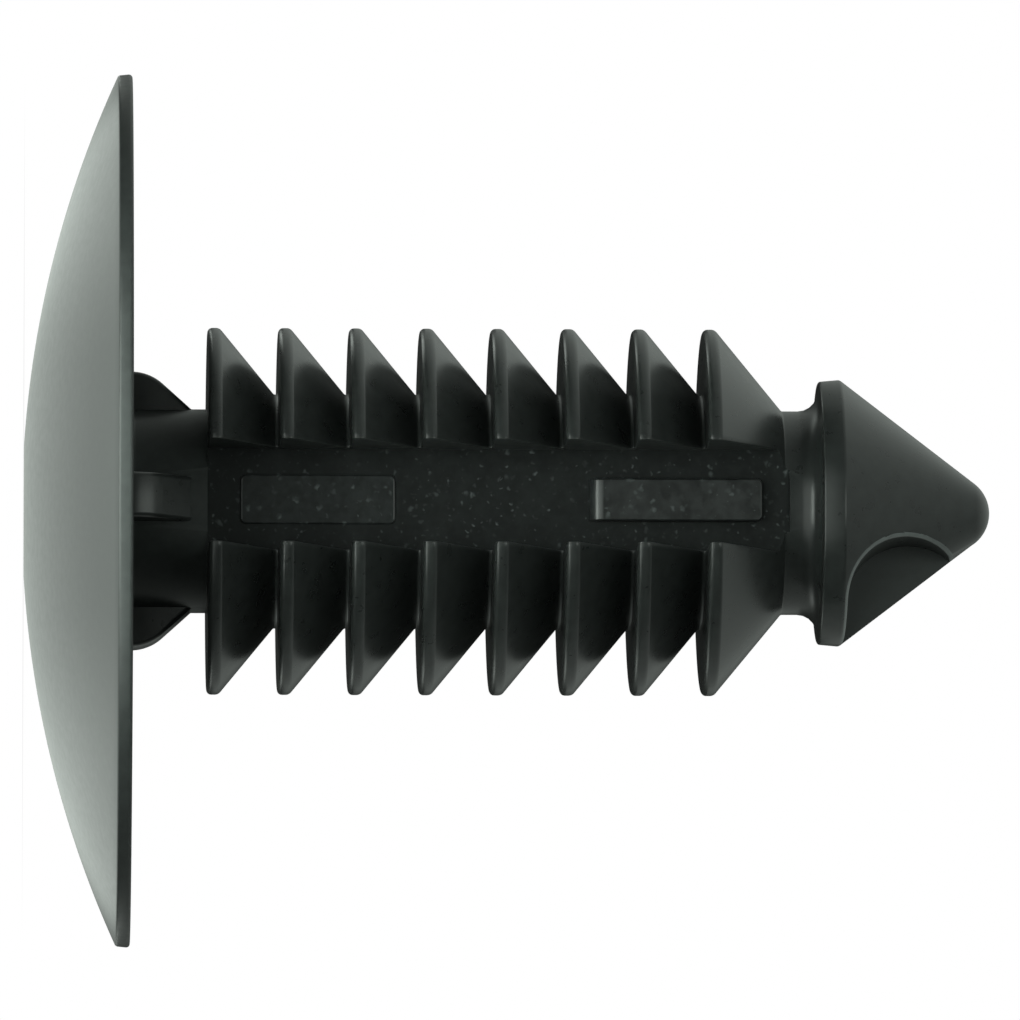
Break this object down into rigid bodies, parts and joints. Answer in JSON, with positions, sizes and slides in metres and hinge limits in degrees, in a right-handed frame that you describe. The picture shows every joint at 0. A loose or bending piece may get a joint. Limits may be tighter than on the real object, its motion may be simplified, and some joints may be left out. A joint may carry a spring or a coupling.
{
  "type": "shield retainer",
  "caption": "Push-in nylon retainer with a wide domed head, gusseted shank, split saw-tooth barbs and a flanged point, for fixing shields and trim in a round panel hole.",
  "frame": {"origin": "centre of the seat, the flat face under the head", "axes": "+Z along the stem towards the point, so the part stands on its head; -Y is the side of the slot that carries the pads; +X is the side of the pocket in the point"},
  "size_m": [0.03, 0.03, 0.0332],
  "materials": {
    "black_nylon": "black moulded nylon, satin, finely sparked on the dome"
  },
  "bodies": {
    "root": {"retainer": "black_nylon"}
  },
  "joints": []
}
